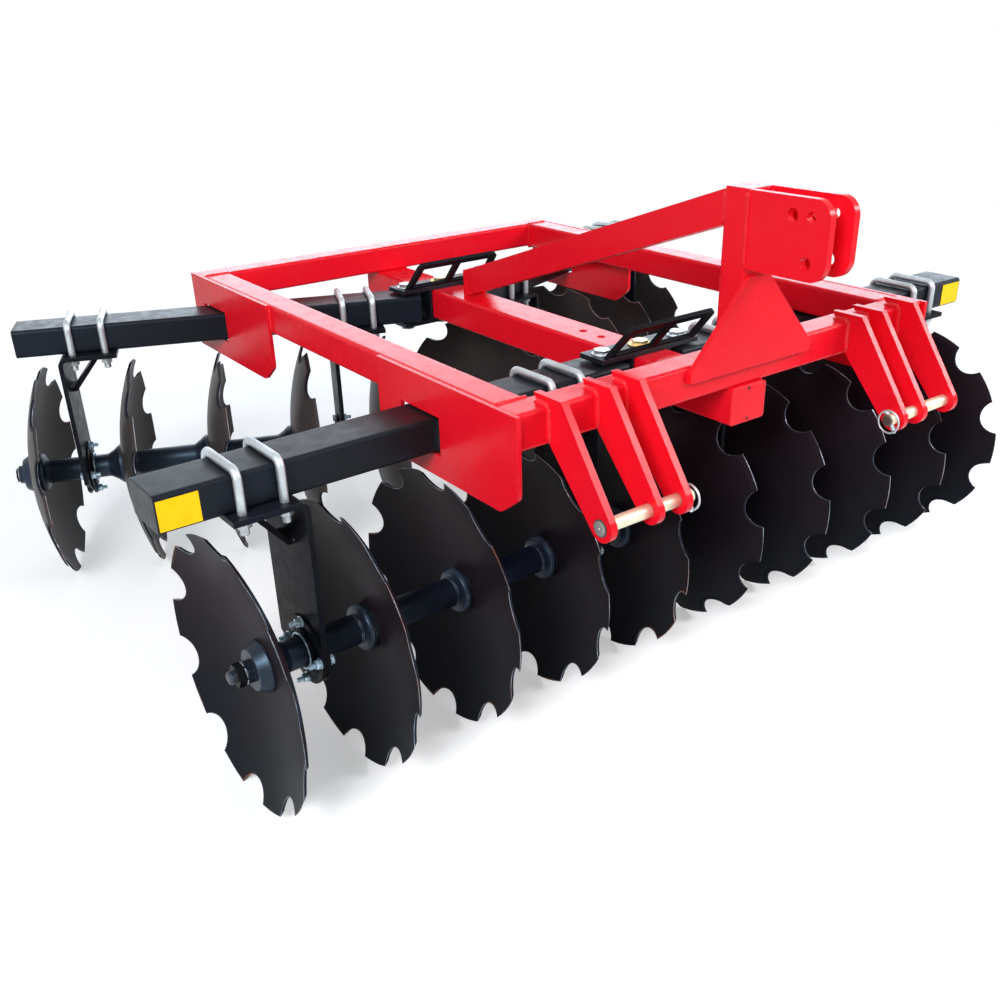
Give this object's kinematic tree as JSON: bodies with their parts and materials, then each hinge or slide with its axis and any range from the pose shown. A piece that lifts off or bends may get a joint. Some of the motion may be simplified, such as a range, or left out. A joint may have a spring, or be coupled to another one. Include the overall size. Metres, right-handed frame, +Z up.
{
  "type": "disc harrow",
  "caption": "Tandem disc harrow for a tractor's three-point linkage: square-tube frame with mast and clevises over gangs of notched, dished discs on adjustable beams.",
  "frame": {"origin": "on the floor, on the centre line, at the middle of the overall length", "axes": "+Z up; +Y towards the rear, so the tractor is at -Y; the driver's right is at -X"},
  "size_m": [2.4878, 2.1322, 1.1683],
  "materials": {
    "red_paint": "glossy red enamel",
    "black_paint": "satin black enamel",
    "black_disc": "satin black enamel with bare ground edges",
    "black_casting": "painted black",
    "zinc": "bright zinc plate",
    "yellow_zinc": "yellow zinc plate",
    "reflector": "yellow reflecting sheet"
  },
  "bodies": {
    "frame": {"side_rails": "red_paint", "cross_tubes": "red_paint", "front_gusset_plate_right": "red_paint", "front_gusset_plate_left": "red_paint", "rear_gusset_plate_right": "red_paint", "rear_gusset_plate_left": "red_paint", "centre_beam": "red_paint", "mast": "red_paint", "top_link_plates": "red_paint", "mast_front_plate": "red_paint", "mast_brace": "red_paint", "clevis_right": "red_paint", "clevis_left": "red_paint", "hitch_pin_right": "yellow_zinc", "hitch_pin_left": "yellow_zinc"},
    "front_carriage": {"front_bracket": "black_paint", "front_bracket_handle": "black_paint", "front_bracket_bolts": "yellow_zinc"},
    "front_beam_right": {"front_gang_beam_right": "black_paint", "front_hangers_right": "black_paint", "front_u_bolts_right": "zinc", "front_bearings_right": "black_paint", "front_reflector_right": "reflector"},
    "front_gang_right": {"front_discs_right": "black_disc", "front_spools_right": "black_casting", "front_axle_right": "black_paint"},
    "front_beam_left": {"front_gang_beam_left": "black_paint", "front_hangers_left": "black_paint", "front_u_bolts_left": "zinc", "front_bearings_left": "black_paint", "front_reflector_left": "reflector"},
    "front_gang_left": {"front_discs_left": "black_disc", "front_spools_left": "black_casting", "front_axle_left": "black_paint"},
    "rear_carriage": {"rear_bracket": "black_paint", "rear_bracket_handle": "black_paint", "rear_bracket_bolts": "yellow_zinc"},
    "rear_beam_right": {"rear_gang_beam_right": "black_paint", "rear_hangers_right": "black_paint", "rear_u_bolts_right": "zinc", "rear_bearings_right": "black_paint"},
    "rear_gang_right": {"rear_discs_right": "black_disc", "rear_spools_right": "black_casting", "rear_axle_right": "black_paint"},
    "rear_beam_left": {"rear_gang_beam_left": "black_paint", "rear_hangers_left": "black_paint", "rear_u_bolts_left": "zinc", "rear_bearings_left": "black_paint"},
    "rear_gang_left": {"rear_discs_left": "black_disc", "rear_spools_left": "black_casting", "rear_axle_left": "black_paint"}
  },
  "joints": [
    {"name": "front_angle_slide", "type": "slide", "parent": "frame", "child": "front_carriage", "axis": [0, 1, 0], "range_m": [0, 0.2]},
    {"name": "front_right_beam_swing", "type": "hinge", "parent": "front_carriage", "child": "front_beam_right", "pos_m": [-0.123, -0.51897, 0.70928], "axis": [0, 0, 1], "range_deg": [0, 21.17]},
    {"name": "front_right_gang_spin", "type": "hinge", "parent": "front_beam_right", "child": "front_gang_right", "pos_m": [-1.07347, -0.55756, 0.30128], "axis": [0.9998, 0.0175, 0], "continuous": true},
    {"name": "front_left_beam_swing", "type": "hinge", "parent": "front_carriage", "child": "front_beam_left", "pos_m": [0.123, -0.51897, 0.70928], "axis": [0, 0, -1], "range_deg": [0, 21.17]},
    {"name": "front_left_gang_spin", "type": "hinge", "parent": "front_beam_left", "child": "front_gang_left", "pos_m": [1.07347, -0.55756, 0.30128], "axis": [-0.9998, 0.0175, 0], "continuous": true},
    {"name": "rear_angle_slide", "type": "slide", "parent": "frame", "child": "rear_carriage", "axis": [0, 1, 0], "range_m": [0, 0.2]},
    {"name": "rear_right_beam_swing", "type": "hinge", "parent": "rear_carriage", "child": "rear_beam_right", "pos_m": [-0.123, 0.36703, 0.70928], "axis": [0, 0, 1], "range_deg": [0, 21.23]},
    {"name": "rear_right_gang_spin", "type": "hinge", "parent": "rear_beam_right", "child": "rear_gang_right", "pos_m": [-0.23228, 0.43444, 0.30128], "axis": [-0.9285, 0.3714, 0], "continuous": true},
    {"name": "rear_left_beam_swing", "type": "hinge", "parent": "rear_carriage", "child": "rear_beam_left", "pos_m": [0.123, 0.36703, 0.70928], "axis": [0, 0, -1], "range_deg": [0, 21.23]},
    {"name": "rear_left_gang_spin", "type": "hinge", "parent": "rear_beam_left", "child": "rear_gang_left", "pos_m": [0.23228, 0.43444, 0.30128], "axis": [0.9285, 0.3714, 0], "continuous": true}
  ],
  "couplings": [
    {"joint": "front_right_beam_swing", "follows": "front_angle_slide", "rad_per_m": 1.8435},
    {"joint": "front_left_beam_swing", "follows": "front_angle_slide", "rad_per_m": 1.8435},
    {"joint": "rear_right_beam_swing", "follows": "rear_angle_slide", "rad_per_m": 1.8481},
    {"joint": "rear_left_beam_swing", "follows": "rear_angle_slide", "rad_per_m": 1.8481}
  ]
}
